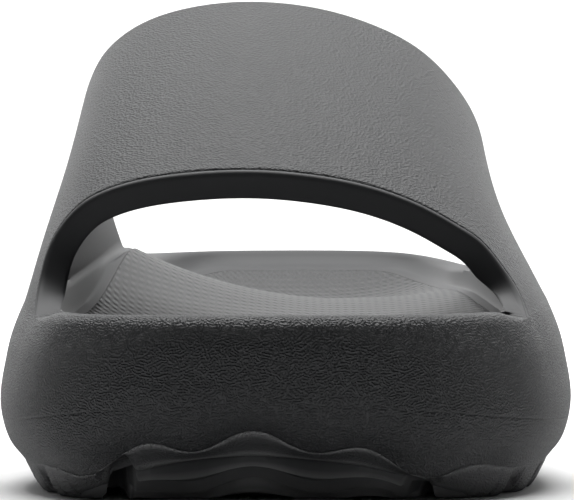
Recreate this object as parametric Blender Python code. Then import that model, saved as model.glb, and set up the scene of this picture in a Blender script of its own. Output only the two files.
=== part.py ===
"""Sport slide sandal, left shoe: sole and strap moulded as one piece, with a textured footbed laid in its pocket.

Metres, +Z up. The toe points along -Y, and the inner side of the foot is at -X.
The origin is on the ground, in the middle of the outline.
"""

from collections import namedtuple
import math

import bmesh
import bpy
import numpy as np

# Plan sizes
LENGTH = 0.290
WIDTH = 0.116

# Side wall, measured inwards from the widest line
TREAD_EDGE_INSET = 0.008
TREAD_KINK_INSET = 0.005
TREAD_KINK_HEIGHT = 0.0058
TOE_KINK_LIFT = 0.0064
TOE_FACE_RUN = 0.045
KINK_LIFT_MIDDLE = -0.008
KINK_LIFT_REACH = 0.024
RIM_INSET = 0.0048
TOE_RIM_INSET = 0.0018
RIM_WIDTH = 0.006
RIM_HEIGHT = 0.036
RIM_ROUND = 0.002

# Strap
STRAP_SETBACK = 0.040
STRAP_LENGTH = 0.140
STRAP_THICKNESS = 0.0055
FRONT_CROWN = 0.0635
REAR_CROWN = 0.1003
CROWN_BULGE = 0.0015
FRONT_SWEEP = 0.010
REAR_SWEEP = 0.026
SWEEP_POWER = 2.5
EDGE_FLARE = 0.006
FLARE_RISE = 0.30
LINING_LIFT = 0.6

# Footbed and the pocket that holds it
FOOTBED_INSET = 0.0118
FOOTBED_HEIGHT = 0.035
DISH_HEIGHT = 0.0055
ARCH_HEIGHT = 0.0104
ARCH_DISTANCE = 0.165
ARCH_REACH = 0.036
POCKET_INSET = 0.0138
HEEL_SLOPE = 0.005
HEEL_SLOPE_LENGTH = 0.090
POCKET_DEPTH = 0.003
PIECE_GAP = 0.0003

# Underside
TOE_SPRING_HEIGHT = 0.016
TOE_SPRING_LENGTH = 0.035
HEEL_BEVEL_HEIGHT = 0.005
HEEL_BEVEL_LENGTH = 0.028
SPRING_POWER = 2.4
BEVEL_POWER = 1.8
TREAD_DEPTH = 0.008
LEDGE_DEPTH = 0.003
SIDE_NOTCH_DEPTH = 0.003
TOE_SCALLOP_HEIGHT = 0.0019
BORDER_WIDTH = 0.011
CHANNEL_WIDTH = 0.009
LUG_WALL_WIDTH = 0.0012
TOE_BORDER_WIDTH = 0.013
TOE_STEP_GROUND = 0.006
NOTCH_RISE = 0.0035
OUTER_NOTCH_SHARE = 0.38
RIDGE_PITCH = 0.022
FEWEST_RIDGES = 3
WAVE_LENGTH = 0.024
WAVE_HEIGHT = 0.003
TOE_WAVE_HEIGHT = 0.001
WAVE_OFFSET = -0.0065

# The outline turns from side to toe and from side to heel at these places
TOE_CORNER_DISTANCE = 0.020
HEEL_CORNER_DISTANCE = 0.022
END_BLEND_LENGTH = 0.090
END_BLEND_POWER = 1.5

# How finely each form is divided
TOP_COLUMNS = 18
TOP_ROWS_TOE = 3
TOP_ROWS_STRAP = 13
TOP_ROWS_HEEL = 8
STRAP_COLUMNS = 26
TREAD_COLUMNS = 22
FIELD_EDGE_COLUMN = 4
OUTLINE_SAMPLES = 400
ANGLE_STEP = 0.001
SHARP_DEGREES = 35.0

# Half outline in plan: along is a share of the length, inner and outer are shares of half the width
Outline = namedtuple("Outline", "along inner outer")
OUTLINE = [
    Outline(0.000, -0.12, -0.12),
    Outline(0.014, -0.50, 0.33),
    Outline(0.059, -0.775, 0.66),
    Outline(0.102, -0.88, 0.815),
    Outline(0.172, -0.965, 0.935),
    Outline(0.255, -1.000, 0.992),
    Outline(0.317, -0.990, 1.000),
    Outline(0.414, -0.930, 0.978),
    Outline(0.517, -0.853, 0.926),
    Outline(0.621, -0.790, 0.876),
    Outline(0.724, -0.750, 0.840),
    Outline(0.821, -0.718, 0.815),
    Outline(0.906, -0.636, 0.741),
    Outline(0.964, -0.480, 0.593),
    Outline(0.993, -0.235, 0.345),
    Outline(1.000, 0.070, 0.070),
]

# Side wall above the tread kink: rise is a share of the way from the kink to the rim,
# inset and toe_inset are shares of the tread edge's inset, along the sides and at the toe tip
Wall = namedtuple("Wall", "rise inset toe_inset")
WALL = [
    Wall(0.06, 0.430, 0.400),
    Wall(0.16, 0.180, 0.180),
    Wall(0.38, 0.000, 0.000),
    Wall(0.61, 0.110, 0.010),
    Wall(0.80, 0.280, 0.060),
]

# Rim height on each side, as shares of the rim height at the toe
Rim = namedtuple("Rim", "along inner outer")
RIM = [
    Rim(0.00, 1.000, 1.000),
    Rim(0.12, 1.010, 1.010),
    Rim(0.22, 1.075, 1.065),
    Rim(0.35, 1.140, 1.120),
    Rim(0.48, 1.245, 1.150),
    Rim(0.60, 1.330, 1.180),
    Rim(0.75, 1.285, 1.175),
    Rim(0.90, 1.255, 1.200),
    Rim(1.00, 1.255, 1.255),
]

# Arch of the strap from the inner to the outer side, at its front and rear edge:
# across is a share of half the width, rise a share of the way from the rim to the crown
Arch = namedtuple("Arch", "front_across front_rise rear_across rear_rise")
ARCH = [
    Arch(-0.880, 0.000, -0.733, 0.000),
    Arch(-0.863, 0.210, -0.772, 0.210),
    Arch(-0.833, 0.430, -0.779, 0.410),
    Arch(-0.785, 0.610, -0.762, 0.590),
    Arch(-0.710, 0.770, -0.712, 0.745),
    Arch(-0.603, 0.880, -0.636, 0.850),
    Arch(-0.431, 0.960, -0.480, 0.945),
    Arch(-0.162, 1.000, -0.207, 1.000),
    Arch(0.086, 0.967, 0.100, 0.980),
    Arch(0.293, 0.885, 0.345, 0.905),
    Arch(0.466, 0.756, 0.517, 0.805),
    Arch(0.586, 0.625, 0.647, 0.665),
    Arch(0.672, 0.510, 0.722, 0.520),
    Arch(0.745, 0.340, 0.759, 0.345),
    Arch(0.803, 0.170, 0.793, 0.175),
    Arch(0.836, 0.000, 0.816, 0.000),
]

# Footbed along its middle: height is a share of the footbed height, dish a share of the dish height
Footbed = namedtuple("Footbed", "along height dish")
FOOTBED = [
    Footbed(0.00, 1.000, 0.00),
    Footbed(0.10, 0.975, 0.10),
    Footbed(0.25, 0.915, 0.35),
    Footbed(0.40, 0.900, 0.50),
    Footbed(0.57, 1.020, 0.35),
    Footbed(0.70, 0.995, 0.60),
    Footbed(0.81, 0.957, 1.00),
    Footbed(0.90, 1.070, 0.75),
    Footbed(0.95, 1.205, 0.35),
    Footbed(1.00, 1.300, 0.10),
]
ARCH_MIDDLE = 0.20
ARCH_POWER = 1.6
DISH_POWER = 3.0
DISH_LIMIT = 1.15
ARCH_LIMIT = 1.2
NARROWEST_HALF = 0.4

# One tread ridge from front to rear: along is a share of the ridge pitch
Ridge = namedtuple("Ridge", "along level")
RIDGE = [
    Ridge(0.00, "ledge"),
    Ridge(0.14, "ledge"),
    Ridge(0.20, "top"),
    Ridge(0.60, "top"),
    Ridge(0.66, "floor"),
    Ridge(0.94, "floor"),
]
LEVEL_DEPTH = {"border": 0.0, "top": 0.0, "ledge": LEDGE_DEPTH, "floor": TREAD_DEPTH, "channel": TREAD_DEPTH}

# Steps across the sprung toe: distance behind the toe corner, and how far the sole lies above its uncut form
Step = namedtuple("Step", "distance lift")
TOE_STEPS = [
    Step(0.0030, -0.0015),
    Step(0.0045, -0.0012),
    Step(0.0085, 0.0008),
    Step(0.0092, -0.0012),
]

# Foam colours: linear red, green and blue
BODY_COLOR = (0.030, 0.031, 0.033, 1.0)
FOOTBED_COLOR = (0.036, 0.037, 0.039, 1.0)
FOAM_ROUGHNESS = 0.62


def curve(knots, values):
    """Smooth curve through a table's values, as a function that reads it at an array of places."""
    knots = np.asarray(knots, float)
    values = np.asarray(values, float)
    count = len(knots)
    steps = np.diff(knots)
    slopes = np.diff(values) / steps
    matrix = np.eye(count)
    right = np.zeros(count)
    for i in range(1, count - 1):
        matrix[i, i - 1] = steps[i - 1]
        matrix[i, i] = 2.0 * (steps[i - 1] + steps[i])
        matrix[i, i + 1] = steps[i]
        right[i] = 3.0 * (slopes[i] - slopes[i - 1])
    bends = np.linalg.solve(matrix, right)

    def read(places):
        places = np.clip(np.asarray(places, float), knots[0], knots[-1])
        i = np.clip(np.searchsorted(knots, places, side="right") - 1, 0, count - 2)
        step = steps[i]
        offset = places - knots[i]
        start_slope = slopes[i] - step * (2.0 * bends[i] + bends[i + 1]) / 3.0
        cubic = (bends[i + 1] - bends[i]) / (3.0 * step)
        return values[i] + offset * (start_slope + offset * (bends[i] + offset * cubic))

    return read


def outline_curve():
    """Plan outline across the shoe, as a function of the angle that runs once round it from the toe tip."""
    angle = [math.acos(1.0 - 2.0 * row.along) for row in OUTLINE]
    outer = [row.outer for row in OUTLINE]
    inner = [row.inner for row in OUTLINE]
    full = 2.0 * math.pi
    angles = angle[:-1] + [full - a for a in reversed(angle[1:])]
    across = outer[:-1] + list(reversed(inner[1:]))
    wrapped_angles = [a - full for a in angles] + angles + [a + full for a in angles]
    return curve(wrapped_angles, across * 3)


outline_across = outline_curve()


def outline(angles):
    """Points of the widest outline, with y measured from the toe tip."""
    angles = np.asarray(angles, float)
    x = outline_across(angles) * WIDTH / 2.0
    y = (1.0 - np.cos(angles)) * LENGTH / 2.0
    return x, y


def inward(angles):
    """Unit directions in plan, square to the outline and into the shoe."""
    x0, y0 = outline(np.asarray(angles) - ANGLE_STEP)
    x1, y1 = outline(np.asarray(angles) + ANGLE_STEP)
    run_x = x1 - x0
    run_y = y1 - y0
    size = np.hypot(run_x, run_y)
    return -run_y / size, run_x / size


def side_angle(y, outer):
    """Angle of the outline where it passes a place along the shoe on one side."""
    angle = np.arccos(np.clip(1.0 - 2.0 * np.asarray(y, float) / LENGTH, -1.0, 1.0))
    if outer:
        return angle
    return 2.0 * math.pi - angle


def even_angles(start, end, marks, count):
    """Angles of points along the outline between two angles: marks off each end, and even lengths between."""
    fine = np.linspace(start, end, OUTLINE_SAMPLES)
    x, y = outline(fine)
    run = np.concatenate([[0.0], np.cumsum(np.hypot(np.diff(x), np.diff(y)))])
    marks = np.array(marks)
    middle = np.linspace(marks[-1], run[-1] - marks[-1], count + 3 - 2 * len(marks))
    places = np.concatenate([marks[:-1], middle, run[-1] - marks[-2::-1]]) if len(marks) > 1 else middle
    return np.interp(places, run, fine)


rim_inner = curve([row.along for row in RIM], [row.inner for row in RIM])
rim_outer = curve([row.along for row in RIM], [row.outer for row in RIM])
footbed_height = curve([row.along for row in FOOTBED], [row.height for row in FOOTBED])
footbed_dish = curve([row.along for row in FOOTBED], [row.dish for row in FOOTBED])


def rim_height(x, y):
    """Height of the rim at a plan point, blended across the shoe from its inner to its outer side."""
    along = y / LENGTH
    share = np.clip(0.5 + x / WIDTH, 0.0, 1.0)
    return RIM_HEIGHT * (rim_inner(along) * (1.0 - share) + rim_outer(along) * share)


def ground_height(y):
    """Height of the uncut tread: flat in the middle, sprung at the toe and bevelled at the heel."""
    toe = np.clip(1.0 - y / TOE_SPRING_LENGTH, 0.0, 1.0)
    heel = np.clip(1.0 - (LENGTH - y) / HEEL_BEVEL_LENGTH, 0.0, 1.0)
    return TOE_SPRING_HEIGHT * toe**SPRING_POWER + HEEL_BEVEL_HEIGHT * heel**BEVEL_POWER


def toe_share(y):
    """One at the toe tip, falling to zero where the toe's upright face ends."""
    return np.clip(1.0 - y / TOE_FACE_RUN, 0.0, 1.0)


def kink_height(x, y):
    """Height of the kink between tread and side wall: scalloped at the toe, and lifted in the toe's middle."""
    bell = np.exp(-(((x - KINK_LIFT_MIDDLE) / KINK_LIFT_REACH) ** 4))
    wave = np.cos(2.0 * math.pi * (x - WAVE_OFFSET) / WAVE_LENGTH)
    lift = (TOE_KINK_LIFT * bell + TOE_SCALLOP_HEIGHT * wave) * toe_share(y)
    heel = np.clip(1.0 - (LENGTH - y) / HEEL_BEVEL_LENGTH, 0.0, 1.0)
    return TREAD_KINK_HEIGHT + lift + HEEL_BEVEL_HEIGHT * heel**BEVEL_POWER


def footbed_surface(x, y):
    """Height of the footbed: a shallow dish with a raised arch on the inner side and a cup at the heel."""
    along = np.clip(y / LENGTH, 0.0, 1.0)
    low = outline(side_angle(y, False))[0]
    high = outline(side_angle(y, True))[0]
    half = np.maximum((high - low) / 2.0 - FOOTBED_INSET, NARROWEST_HALF * WIDTH / 2.0)
    across = np.clip((x - (high + low) / 2.0) / half, -DISH_LIMIT, DISH_LIMIT)
    bell = np.exp(-(((y - ARCH_DISTANCE) / ARCH_REACH) ** 2))
    arch = np.clip((ARCH_MIDDLE - across) / (ARCH_MIDDLE + 1.0), 0.0, ARCH_LIMIT) ** ARCH_POWER
    height = FOOTBED_HEIGHT * footbed_height(along)
    height = height + DISH_HEIGHT * footbed_dish(along) * np.abs(across) ** DISH_POWER
    return height + ARCH_HEIGHT * bell * arch


def heel_slope(y):
    """How far the foot of the inner wall moves inwards towards the heel, so that the heel cup slopes gently."""
    return HEEL_SLOPE * np.clip(1.0 - (LENGTH - y) / HEEL_SLOPE_LENGTH, 0.0, 1.0) ** 2


def pocket_inset(y):
    """Distance from the widest outline to the pocket's edge."""
    return POCKET_INSET + heel_slope(y)


class Ladder:
    """Stations round the outline, split into toe, outer side, heel and inner side, with rungs across the shoe."""

    def __init__(self, places, columns, marks=(0.0,)):
        self.columns = columns
        self.rows = len(places) - 1
        toe = float(side_angle(places[0], True))
        heel = float(side_angle(places[-1], True))
        full = 2.0 * math.pi
        inner_toe = float(side_angle(places[0], False)) - full
        inner_heel = float(side_angle(places[-1], False))
        parts = [
            even_angles(inner_toe, toe, marks, columns)[:-1],
            side_angle(places, True)[:-1],
            even_angles(heel, inner_heel, marks, columns)[:-1],
            side_angle(places[::-1], False)[:-1],
        ]
        self.angles = np.concatenate(parts)
        self.count = len(self.angles)
        x, y = outline(self.angles)
        steps = np.hypot(np.diff(x), np.diff(y))
        self.marks = np.concatenate([[0.0], np.cumsum(steps)])

    def toe(self, column):
        return column

    def outer(self, row):
        return self.columns + row

    def heel(self, column):
        return 2 * self.columns + self.rows - column

    def inner(self, row):
        return (2 * self.columns + 2 * self.rows - row) % self.count

    def ring(self, inset, height):
        """Points one inset inside the outline. The height is one number or one for each station."""
        x, y = outline(self.angles)
        step_x, step_y = inward(self.angles)
        x = x + step_x * inset
        y = y + step_y * inset
        return np.column_stack([x, y, np.broadcast_to(height, x.shape)])

    def plan(self, ring, shares, blend):
        """Plan points of every rung between the four sides of a ring."""
        inner = np.array([ring[self.inner(i), :2] for i in range(self.rows + 1)])
        outer = np.array([ring[self.outer(i), :2] for i in range(self.rows + 1)])
        toe = np.array([ring[self.toe(j), :2] for j in range(self.columns + 1)])
        heel = np.array([ring[self.heel(j), :2] for j in range(self.columns + 1)])
        straight = inner[:, None, :] + (outer - inner)[:, None, :] * shares[:, :, None]
        middle = (inner[:, 1] + outer[:, 1]) / 2.0
        toe_fade = np.clip(1.0 - (middle - middle[0]) / blend, 0.0, 1.0) ** END_BLEND_POWER
        heel_fade = np.clip(1.0 - (middle[-1] - middle) / blend, 0.0, 1.0) ** END_BLEND_POWER
        plan = straight + toe_fade[:, None, None] * (toe - straight[0])[None]
        return plan + heel_fade[:, None, None] * (heel - straight[-1])[None]


class Shell:
    """Points and faces of one closed body, gathered row by row."""

    def __init__(self):
        self.points = []
        self.faces = []

    def row(self, points):
        start = len(self.points)
        self.points.extend(tuple(float(c) for c in point) for point in points)
        return list(range(start, len(self.points)))

    def strip(self, one, two, closed):
        count = len(one)
        for i in range(count if closed else count - 1):
            j = (i + 1) % count
            self.faces.append((one[i], one[j], two[j], two[i]))

    def stitch(self, one, one_marks, two, two_marks, total):
        """Triangles between two closed rings of different counts that start at the same place."""
        i = 0
        j = 0
        while i < len(one) or j < len(two):
            next_one = one_marks[i + 1] if i + 1 < len(one) else total
            next_two = two_marks[j + 1] if j + 1 < len(two) else total
            a = one[i % len(one)]
            b = two[j % len(two)]
            if j >= len(two) or (i < len(one) and next_one <= next_two):
                self.faces.append((a, one[(i + 1) % len(one)], b))
                i += 1
            else:
                self.faces.append((a, two[(j + 1) % len(two)], b))
                j += 1

    def patch(self, ladder, ring, inside):
        """Fill a closed ring with the ladder's rungs. Only the points inside the ring are new."""
        rows = []
        for i in range(ladder.rows + 1):
            if i == 0:
                rows.append([ring[ladder.toe(j)] for j in range(ladder.columns + 1)])
            elif i == ladder.rows:
                rows.append([ring[ladder.heel(j)] for j in range(ladder.columns + 1)])
            else:
                middle = self.row(inside[i, 1:-1])
                rows.append([ring[ladder.inner(i)]] + middle + [ring[ladder.outer(i)]])
        for i in range(ladder.rows):
            self.strip(rows[i], rows[i + 1], False)

    def solid(self, name, material):
        """One object, with its faces turned outwards and the origin moved under its middle."""
        mesh = bpy.data.meshes.new(name)
        shell = bmesh.new()
        points = [shell.verts.new((x, y - LENGTH / 2.0, z)) for x, y, z in self.points]
        for face in self.faces:
            shell.faces.new([points[i] for i in face])
        bmesh.ops.recalc_face_normals(shell, faces=shell.faces)
        shell.to_mesh(mesh)
        shell.free()
        mesh.shade_smooth()
        mesh.set_sharp_from_angle(angle=math.radians(SHARP_DEGREES))
        mesh.materials.append(material)
        item = bpy.data.objects.new(name, mesh)
        bpy.context.scene.collection.objects.link(item)
        return item


def foam(name, color):
    """Matte moulded foam."""
    material = bpy.data.materials.new(name)
    material.use_nodes = True
    shader = material.node_tree.nodes["Principled BSDF"]
    shader.inputs["Base Color"].default_value = color
    shader.inputs["Roughness"].default_value = FOAM_ROUGHNESS
    shader.inputs["Metallic"].default_value = 0.0
    return material


def even_shares(ladder):
    """Columns spread evenly across every rung."""
    return np.tile(np.linspace(0.0, 1.0, ladder.columns + 1), (ladder.rows + 1, 1))


def top_ladder():
    """Rungs of the upper side: toe, strap and heel zones each divided evenly."""
    rear = STRAP_SETBACK + STRAP_LENGTH
    toe = np.linspace(TOE_CORNER_DISTANCE, STRAP_SETBACK, TOP_ROWS_TOE + 1)
    strap = np.linspace(STRAP_SETBACK, rear, TOP_ROWS_STRAP + 1)
    heel = np.linspace(rear, LENGTH - HEEL_CORNER_DISTANCE, TOP_ROWS_HEEL + 1)
    return Ladder(np.concatenate([toe[:-1], strap[:-1], heel]), TOP_COLUMNS)


Rung = namedtuple("Rung", "place level lift")


def tread_rungs():
    """Rungs of the tread along the side: stepped toe border, channel, ridges, channel, heel border."""
    corner = LENGTH - HEEL_CORNER_DISTANCE
    first = TOE_CORNER_DISTANCE + TOE_BORDER_WIDTH
    last = corner - BORDER_WIDTH
    start = first + CHANNEL_WIDTH
    end = last - CHANNEL_WIDTH
    ridges = max(FEWEST_RIDGES, round((end - start) / RIDGE_PITCH))
    pitch = (end - start) / ridges
    rungs = [Rung(TOE_CORNER_DISTANCE, "toe", 0.0)]
    rungs += [Rung(TOE_CORNER_DISTANCE + step.distance, "toe", step.lift) for step in TOE_STEPS]
    rungs.append(Rung(first - LUG_WALL_WIDTH, "toe", 0.0))
    rungs.append(Rung(first, "channel", 0.0))
    rungs.append(Rung(start - LUG_WALL_WIDTH, "channel", 0.0))
    for number in range(ridges):
        for row in RIDGE:
            rungs.append(Rung(start + pitch * (number + row.along), row.level, 0.0))
    rungs.append(Rung(last - LUG_WALL_WIDTH, "channel", 0.0))
    rungs.append(Rung(last, "border", 0.0))
    rungs.append(Rung(corner, "border", 0.0))
    return rungs


def border_marks():
    """Distances from the tread's edge to both sides of the border's inner wall and of the channel's far wall."""
    far = BORDER_WIDTH + CHANNEL_WIDTH
    return [0.0, BORDER_WIDTH, BORDER_WIDTH + LUG_WALL_WIDTH, far, far + LUG_WALL_WIDTH]


def tread_shares(ladder, ring):
    """Columns of each tread rung: border, channel, field, channel, border."""
    shares = np.zeros((ladder.rows + 1, ladder.columns + 1))
    for i in range(ladder.rows + 1):
        width = np.linalg.norm(ring[ladder.outer(i), :2] - ring[ladder.inner(i), :2])
        left = np.array(border_marks()) / width
        field = np.linspace(left[-1], 1.0 - left[-1], ladder.columns + 1 - 2 * FIELD_EDGE_COLUMN)
        shares[i] = np.concatenate([left[:-1], field, 1.0 - left[:-1][::-1]])
    return shares


def notch_share(column, columns):
    """How deep the toe border is cut at a column: fully at the inner channel, and less at the outer one."""
    if 1 < column < FIELD_EDGE_COLUMN:
        return 1.0
    if 1 < columns - column < FIELD_EDGE_COLUMN:
        return OUTER_NOTCH_SHARE
    return 0.0


def tread_height(rung, column, columns, ground):
    """Height of the tread at one rung and column, over the ground height of the uncut sole."""
    edge = min(column, columns - column)
    if rung.level == "toe":
        notch = notch_share(column, columns)
        step = rung.lift * min(1.0, ground / TOE_STEP_GROUND)
        return ground + TREAD_DEPTH * notch + step * (1.0 - notch)
    if rung.level == "border" or edge <= 1:
        return ground
    if edge < FIELD_EDGE_COLUMN:
        return ground + TREAD_DEPTH
    return ground + LEVEL_DEPTH[rung.level]


def add_tread(shell):
    """The underside up to the kink of the side wall. Returns the kink's ring and the ladder it stands on."""
    rungs = tread_rungs()
    ladder = Ladder(np.array([rung.place for rung in rungs]), TREAD_COLUMNS, border_marks())
    edge = ladder.ring(TREAD_EDGE_INSET, 0.0)
    kink = ladder.ring(TREAD_KINK_INSET, 0.0)
    plan = ladder.plan(edge, tread_shares(ladder, edge), END_BLEND_LENGTH)
    inside = np.zeros(plan.shape[:2] + (3,))
    wave_turn = 2.0 * math.pi / WAVE_LENGTH
    for i, rung in enumerate(rungs):
        for j in range(ladder.columns + 1):
            x, y = plan[i, j]
            in_field = FIELD_EDGE_COLUMN <= j <= ladder.columns - FIELD_EDGE_COLUMN
            if in_field and 0 < i < ladder.rows:
                wave = TOE_WAVE_HEIGHT if rung.level == "toe" else WAVE_HEIGHT
                y = y - wave * math.cos(wave_turn * (x - WAVE_OFFSET))
            inside[i, j] = (x, y, tread_height(rung, j, ladder.columns, ground_height(y)))
    edge[:, 2] = ground_height(edge[:, 1])
    for column in range(ladder.columns + 1):
        edge[ladder.toe(column), 2] += NOTCH_RISE * notch_share(column, ladder.columns)
    for i, rung in enumerate(rungs):
        if rung.level == "floor":
            for station in (ladder.inner(i), ladder.outer(i)):
                edge[station, 2] += SIDE_NOTCH_DEPTH
    kink[:, 2] = kink_height(kink[:, 0], kink[:, 1])
    kink_ring = shell.row(kink)
    edge_ring = shell.row(edge)
    shell.strip(kink_ring, edge_ring, True)
    shell.patch(ladder, edge_ring, inside)
    return kink_ring, ladder


arch_rows = np.arange(len(ARCH))
front_across = curve(arch_rows, [row.front_across for row in ARCH])
front_rise = curve(arch_rows, [row.front_rise for row in ARCH])
rear_across = curve(arch_rows, [row.rear_across for row in ARCH])
rear_rise = curve(arch_rows, [row.rear_rise for row in ARCH])


def strap_surface(inner_base, outer_base):
    """Outer face of the strap, one arch for each pair of points where it leaves the rim."""
    stations = np.linspace(0.0, len(ARCH) - 1.0, STRAP_COLUMNS + 1)
    across_share = np.linspace(0.0, 1.0, STRAP_COLUMNS + 1)
    count = len(inner_base)
    grid = np.zeros((count, STRAP_COLUMNS + 1, 3))
    for i in range(count):
        back = i / (count - 1.0)
        across = (front_across(stations) * (1.0 - back) + rear_across(stations) * back) * WIDTH / 2.0
        rise = front_rise(stations) * (1.0 - back) + rear_rise(stations) * back
        crown = FRONT_CROWN + (REAR_CROWN - FRONT_CROWN) * back + CROWN_BULGE * 4.0 * back * (1.0 - back)
        base = inner_base[i] + (outer_base[i] - inner_base[i]) * across_share[:, None]
        miss = (inner_base[i, 0] - across[0]) * (1.0 - across_share) + (outer_base[i, 0] - across[-1]) * across_share
        sweep = 1.0 - (1.0 - np.clip(rise, 0.0, 1.0)) ** SWEEP_POWER
        flare = 1.0 - np.clip(1.0 - rise / FLARE_RISE, 0.0, 1.0) ** 2
        shift = (FRONT_SWEEP * sweep + EDGE_FLARE * flare) * (1.0 - back)
        shift = shift - (REAR_SWEEP * sweep + EDGE_FLARE * flare) * back
        grid[i, :, 0] = across + miss * (1.0 - np.clip(rise, 0.0, 1.0)) ** 2
        grid[i, :, 1] = base[:, 1] + shift
        grid[i, :, 2] = base[:, 2] + (crown - base[:, 2]) * rise
    return grid


def lining_surface(grid, inner_base, outer_base):
    """Inner face of the strap: its outer face moved in by the thickness, and kept above its own base."""
    along = np.gradient(grid, axis=0)
    across = np.gradient(grid, axis=1)
    square = np.cross(along, across)
    square[:, :, 1] = 0.0
    square = square / np.linalg.norm(square, axis=2, keepdims=True)
    if square[len(square) // 2, STRAP_COLUMNS // 2, 2] > 0.0:
        square = -square
    lining = grid + square * STRAP_THICKNESS
    share = np.linspace(0.0, 1.0, STRAP_COLUMNS + 1)
    base = inner_base[:, None, 2] * (1.0 - share) + outer_base[:, None, 2] * share
    root = grid[:, :1, 2] * (1.0 - share) + grid[:, -1:, 2] * share
    lining[:, :, 2] = np.maximum(lining[:, :, 2], base + LINING_LIFT * (grid[:, :, 2] - root))
    return lining


def add_upper(shell, kink_ring, tread_ladder):
    """Side wall, rim, strap, inner wall and the pocket of the footbed, above the tread's kink."""
    ladder = top_ladder()
    x, y = outline(ladder.angles)
    kink = kink_height(x, y)
    rim = rim_height(x, y)
    toe = toe_share(y)
    rim_inset = RIM_INSET + (TOE_RIM_INSET - RIM_INSET) * toe
    rings = []
    for row in WALL:
        inset = (row.inset + (row.toe_inset - row.inset) * toe) * TREAD_EDGE_INSET
        rings.append(shell.row(ladder.ring(inset, kink + row.rise * (rim - RIM_ROUND - kink))))
    total = tread_ladder.marks[-1] * 2.0
    shell.stitch(kink_ring, tread_ladder.marks, rings[0], ladder.marks, total)
    rim_out = ladder.ring(rim_inset, rim - RIM_ROUND)
    rim_top = ladder.ring(rim_inset + RIM_WIDTH / 2.0, rim)
    rim_in = ladder.ring(rim_inset + RIM_WIDTH, rim - RIM_ROUND / 2.0)
    out_ring = shell.row(rim_out)
    in_ring = shell.row(rim_in)
    rings.append(out_ring)
    for one, two in zip(rings, rings[1:]):
        shell.strip(one, two, True)
    first = TOP_ROWS_TOE
    last = TOP_ROWS_TOE + TOP_ROWS_STRAP
    zone = range(first, last + 1)
    inner_stations = [ladder.inner(i) for i in zone]
    outer_stations = [ladder.outer(i) for i in zone]
    outside = strap_surface(rim_out[inner_stations], rim_out[outer_stations])
    inside = lining_surface(outside, rim_in[inner_stations], rim_in[outer_stations])
    rows_out = []
    rows_in = []
    for i in range(len(outside)):
        near = inner_stations[i]
        far = outer_stations[i]
        rows_out.append([out_ring[near]] + shell.row(outside[i, 1:-1]) + [out_ring[far]])
        rows_in.append([in_ring[near]] + shell.row(inside[i, 1:-1]) + [in_ring[far]])
    for rows in (rows_out, rows_in):
        for one, two in zip(rows, rows[1:]):
            shell.strip(one, two, False)
    add_rim(shell, ladder, rim_top, out_ring, in_ring, rows_out, rows_in)
    add_pocket(shell, ladder, in_ring, rim_in)


def halfway(shell, one, two):
    """The point in the middle between two points of the shell."""
    return (np.array(shell.points[one]) + np.array(shell.points[two])) / 2.0


def add_rim(shell, ladder, rim_top, out_ring, in_ring, rows_out, rows_in):
    """Rounded top of the rim round toe and heel, carried on over the strap's front and rear edges."""
    first = TOP_ROWS_TOE
    last = TOP_ROWS_TOE + TOP_ROWS_STRAP
    toe = [ladder.inner(i) for i in range(first, 0, -1)]
    toe += [ladder.toe(j) for j in range(ladder.columns + 1)]
    toe += [ladder.outer(i) for i in range(1, first + 1)]
    heel = [ladder.outer(i) for i in range(last, ladder.rows)]
    heel += [ladder.heel(j) for j in range(ladder.columns, -1, -1)]
    heel += [ladder.inner(i) for i in range(ladder.rows - 1, last - 1, -1)]
    for stations, edge_row in ((toe, 0), (heel, -1)):
        crest = rim_top[stations]
        for end in (0, -1):
            crest[end] = halfway(shell, out_ring[stations[end]], in_ring[stations[end]])
        tops = shell.row(crest)
        shell.strip([out_ring[s] for s in stations], tops, False)
        shell.strip(tops, [in_ring[s] for s in stations], False)
        outside = rows_out[edge_row]
        inside = rows_in[edge_row]
        middle = [halfway(shell, one, two) for one, two in zip(outside[1:-1], inside[1:-1])]
        ends = (tops[0], tops[-1]) if edge_row == 0 else (tops[-1], tops[0])
        ridge = [ends[0]] + shell.row(middle) + [ends[1]]
        shell.strip(outside, ridge, False)
        shell.strip(ridge, inside, False)


def add_pocket(shell, ladder, in_ring, rim_in):
    """Inner wall, the smooth band at its foot, and the recess that the footbed lies in."""
    band_out = ladder.ring(FOOTBED_INSET + heel_slope(outline(ladder.angles)[1]), 0.0)
    band_out[:, 2] = np.minimum(footbed_surface(band_out[:, 0], band_out[:, 1]), rim_in[:, 2] - PIECE_GAP)
    pocket = ladder.ring(pocket_inset(outline(ladder.angles)[1]), 0.0)
    pocket[:, 2] = footbed_surface(pocket[:, 0], pocket[:, 1])
    middle = (rim_in + 2.0 * band_out) / 3.0
    middle[:, :2] = (rim_in[:, :2] + band_out[:, :2]) / 2.0
    rings = [in_ring, shell.row(middle), shell.row(band_out), shell.row(pocket)]
    floor = pocket.copy()
    floor[:, 2] -= POCKET_DEPTH
    rings.append(shell.row(floor))
    for one, two in zip(rings, rings[1:]):
        shell.strip(one, two, True)
    shell.patch(ladder, rings[-1], footbed_grid(ladder, pocket, POCKET_DEPTH))


def footbed_grid(ladder, ring, depth):
    """Points of the footbed's surface on every rung inside a ring, lowered by a depth."""
    plan = ladder.plan(ring, even_shares(ladder), END_BLEND_LENGTH)
    height = footbed_surface(plan[:, :, 0], plan[:, :, 1]) - depth
    return np.dstack([plan, height])


def moulded_body():
    """Sole and strap, moulded from one foam."""
    shell = Shell()
    kink_ring, ladder = add_tread(shell)
    add_upper(shell, kink_ring, ladder)
    return shell.solid("moulded_body", foam("onyx foam", BODY_COLOR))


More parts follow.
